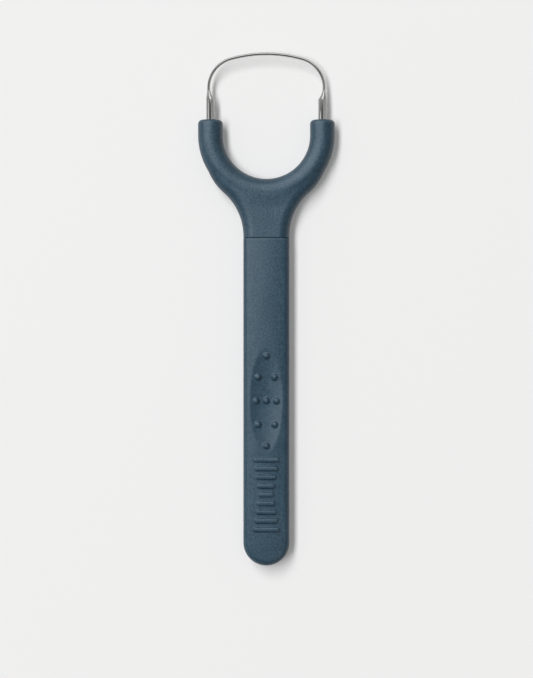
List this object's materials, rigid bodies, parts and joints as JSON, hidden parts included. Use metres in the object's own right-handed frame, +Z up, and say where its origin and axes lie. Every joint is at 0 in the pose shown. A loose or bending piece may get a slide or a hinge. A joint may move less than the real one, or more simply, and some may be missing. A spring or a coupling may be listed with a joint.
{
  "type": "tongue scraper",
  "caption": "Hand-held tongue scraper: a moulded handle with a thumb dish and grip ribs, a pull-off forked head, and a thin arched steel band held between the fork's arms.",
  "frame": {"origin": "under the middle of the object, on the surface that it lies on with its back down", "axes": "+Y along the handle from its rounded end towards the blade, +Z up out of the face with the dish and ribs, +X to the right of that face"},
  "size_m": [0.041, 0.1538, 0.0077],
  "materials": {
    "handle_plastic": "satin slate blue, finely grained",
    "fork_plastic": "satin slate blue, finely grained",
    "blade_steel": "polished stainless steel"
  },
  "bodies": {
    "handle": {"handle": "handle_plastic"},
    "head": {"fork_head": "fork_plastic", "scraper_blade": "blade_steel"}
  },
  "joints": [
    {"name": "head_pull", "type": "slide", "parent": "handle", "child": "head", "axis": [0, 1, 0], "range_m": [0, 0.018]}
  ]
}
